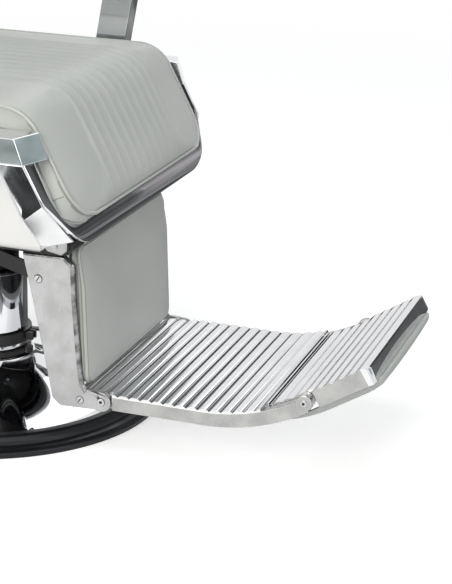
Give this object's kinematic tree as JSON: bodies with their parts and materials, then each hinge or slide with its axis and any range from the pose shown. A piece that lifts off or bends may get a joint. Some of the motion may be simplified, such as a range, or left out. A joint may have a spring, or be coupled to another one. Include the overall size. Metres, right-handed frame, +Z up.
{
  "type": "hydraulic barber chair",
  "caption": "Reclining barber chair on a round pump base: channelled seat, chrome band, swing-up footrest with ribbed footplate and folding toe flap.",
  "frame": {"origin": "on the floor at the centre of the round base, on the axis of the column", "axes": "+Z up, the chair faces -Y, +X towards the left hand of the person in the seat"},
  "size_m": [0.7223, 1.2339, 1.2621],
  "materials": {
    "cast_base": "painted casting",
    "rubber_ring": "matt moulded rubber",
    "chrome": "mirror plated",
    "black_paint": "semi-gloss black paint",
    "zinc": "plated steel",
    "plywood": "bare plywood",
    "upholstery": "smooth semi-matt upholstery over foam",
    "white_gloss": "gloss white moulding",
    "black_plastic": "matt black",
    "satin_aluminium": "satin casting",
    "polished_aluminium": "bright polished casting"
  },
  "bodies": {
    "base": {"base_plate": "cast_base", "base_ring": "rubber_ring", "base_cover": "chrome", "pump_body": "cast_base", "column_sleeve": "chrome", "column_collar": "chrome", "column_cap": "chrome", "lever_bracket": "black_paint", "lever_pin": "chrome"},
    "lock": {"swivel_lock": "black_paint", "lock_grip": "rubber_ring"},
    "pump_lever": {"pump_lever": "black_paint", "pump_pedal_pad": "rubber_ring"},
    "plunger": {"pump_plunger": "chrome"},
    "lift": {"ram": "chrome"},
    "seat": {"seat_mount": "black_paint", "mount_bolts": "zinc", "frame_floor": "black_paint", "frame_beams": "black_paint", "front_cross_bar": "black_paint", "rear_cross_bar": "black_paint", "right_frame_plate": "black_paint", "left_frame_plate": "black_paint", "seat_board": "plywood", "seat_cushion": "upholstery", "seat_band": "chrome", "right_rail": "chrome", "left_rail": "chrome", "right_side_plate": "chrome", "left_side_plate": "chrome", "right_side_panel": "white_gloss", "left_side_panel": "white_gloss", "side_screws": "zinc", "right_arm_frame": "chrome", "left_arm_frame": "chrome", "right_arm_pad": "upholstery", "left_arm_pad": "upholstery", "hinge_pins": "zinc"},
    "recline_lever": {"recline_lever": "chrome", "lever_knob": "black_plastic"},
    "back": {"right_back_arm": "black_paint", "left_back_arm": "black_paint", "link_rear_pins": "zinc", "back_board": "plywood", "back_shell": "white_gloss", "back_cushion": "upholstery", "headrest_socket": "black_paint"},
    "headrest_carrier": {"headrest_post": "chrome", "headrest_pin": "zinc"},
    "headrest": {"headrest_plate": "black_paint", "headrest_cushion": "upholstery"},
    "footrest": {"right_bracket": "satin_aluminium", "left_bracket": "satin_aluminium", "bracket_screws": "zinc", "calf_board": "plywood", "calf_pad": "upholstery"},
    "links": {"recline_links": "black_paint"},
    "footplate": {"footplate": "polished_aluminium"},
    "flap": {"toe_flap": "polished_aluminium", "flap_pad": "upholstery"}
  },
  "joints": [
    {"name": "lock_swing", "type": "hinge", "parent": "base", "child": "lock", "pos_m": [0, 0, 0.089], "axis": [0, 0, 1], "range_deg": [-20, 0]},
    {"name": "pump_pedal", "type": "hinge", "parent": "base", "child": "pump_lever", "pos_m": [0, 0.084, 0.116], "axis": [-1, 0, 0], "range_deg": [0, 8.5], "stiffness_Nm_per_rad": 30, "springref_deg": -17.19},
    {"name": "plunger_stroke", "type": "slide", "parent": "base", "child": "plunger", "axis": [0, 0, -1], "range_m": [0, 0.0045]},
    {"name": "seat_lift", "type": "slide", "parent": "base", "child": "lift", "axis": [0, 0, 1], "range_m": [0, 0.16]},
    {"name": "seat_swivel", "type": "hinge", "parent": "lift", "child": "seat", "pos_m": [0, 0, 0.3], "axis": [0, 0, 1], "continuous": true},
    {"name": "recline_release", "type": "hinge", "parent": "seat", "child": "recline_lever", "pos_m": [-0.345, 0.11, 0.462], "axis": [-1, 0, 0], "range_deg": [0, 25], "stiffness_Nm_per_rad": 2, "springref_deg": -17.19},
    {"name": "back_recline", "type": "hinge", "parent": "seat", "child": "back", "pos_m": [0, 0.235, 0.498], "axis": [-1, 0, 0], "range_deg": [0, 48]},
    {"name": "footrest_swing", "type": "hinge", "parent": "seat", "child": "footrest", "pos_m": [0, -0.245, 0.368], "axis": [-1, 0, 0], "range_deg": [0, 48]},
    {"name": "link_turn", "type": "hinge", "parent": "footrest", "child": "links", "pos_m": [0, -0.178, 0.293], "axis": [-1, 0, 0], "range_deg": [-48, 0]},
    {"name": "headrest_slide", "type": "slide", "parent": "back", "child": "headrest_carrier", "axis": [0, 0.2419, 0.9703], "range_m": [0, 0.09]},
    {"name": "headrest_tilt", "type": "hinge", "parent": "headrest_carrier", "child": "headrest", "pos_m": [0, 0.45891, 1.18937], "axis": [-1, 0, 0], "range_deg": [-20, 30]},
    {"name": "footplate_fold", "type": "hinge", "parent": "footrest", "child": "footplate", "pos_m": [0, -0.287, 0.097], "axis": [-1, 0, 0], "range_deg": [0, 45]},
    {"name": "flap_fold", "type": "hinge", "parent": "footplate", "child": "flap", "pos_m": [0, -0.62642, 0.14873], "axis": [-1, 0, 0], "range_deg": [0, 120]}
  ],
  "couplings": [
    {"joint": "plunger_stroke", "follows": "pump_pedal", "m_per_rad": 0.0302},
    {"joint": "footrest_swing", "follows": "back_recline", "ratio": 1},
    {"joint": "link_turn", "follows": "back_recline", "ratio": -1}
  ]
}
